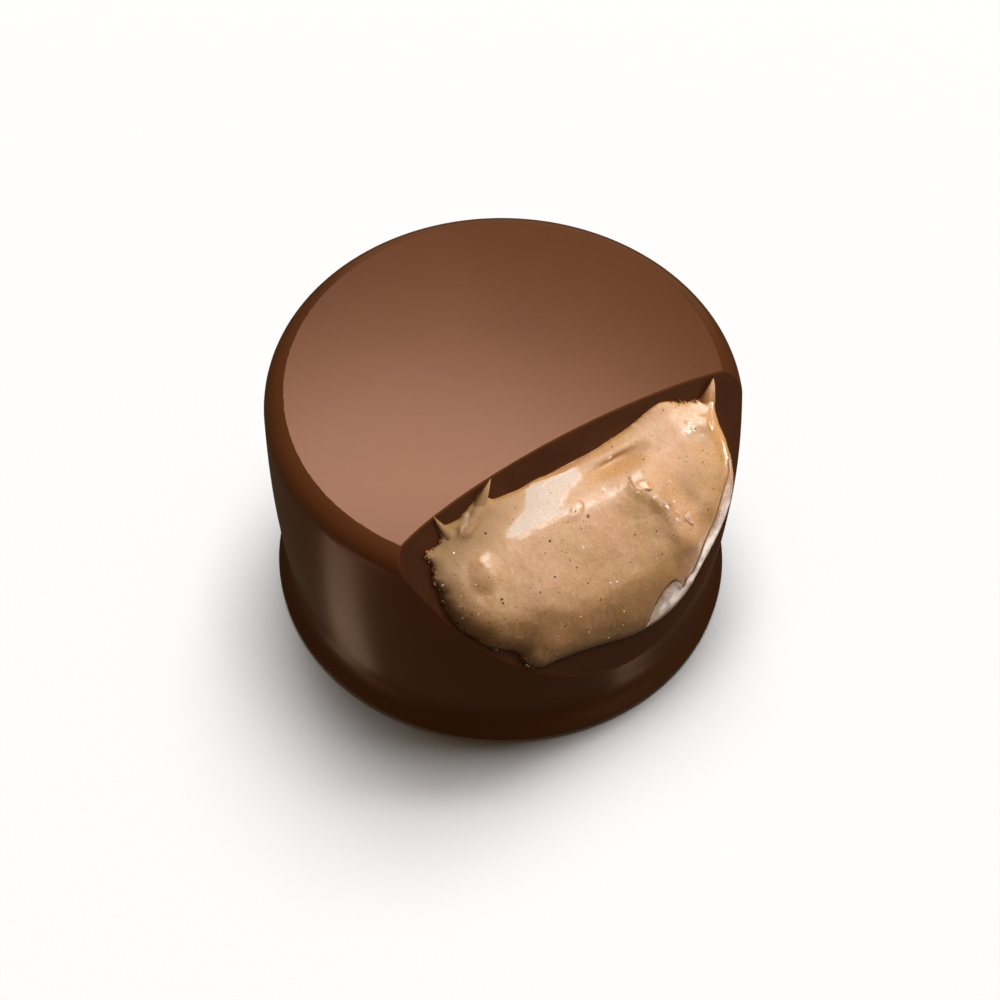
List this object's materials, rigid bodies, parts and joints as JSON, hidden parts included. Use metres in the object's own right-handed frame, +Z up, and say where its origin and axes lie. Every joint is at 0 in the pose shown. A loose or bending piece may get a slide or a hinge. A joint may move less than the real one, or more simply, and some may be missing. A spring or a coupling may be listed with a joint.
{
  "type": "chocolate bonbon",
  "caption": "Round moulded chocolate bonbon with a flat top and a slanting slice taken off one side, so that the thin shell and the nut cream swelling out of it show.",
  "frame": {"origin": "middle of the flat base, on the surface that the bonbon rests on", "axes": "+Z up through the middle of the top, the slice faces -Y and +X, and the camera looks along +Y"},
  "size_m": [0.028, 0.028, 0.0167],
  "materials": {
    "chocolate": "satin tempered milk chocolate, smooth where it was moulded and duller on the cut",
    "nut_cream": "soft beige nut cream with fine dark specks, moist and partly glossy",
    "nut_oil": "thin clear film of nut oil along the lower right edge of the cream"
  },
  "bodies": {
    "root": {"chocolate_shell": "chocolate", "nut_cream": "nut_cream"}
  },
  "joints": []
}
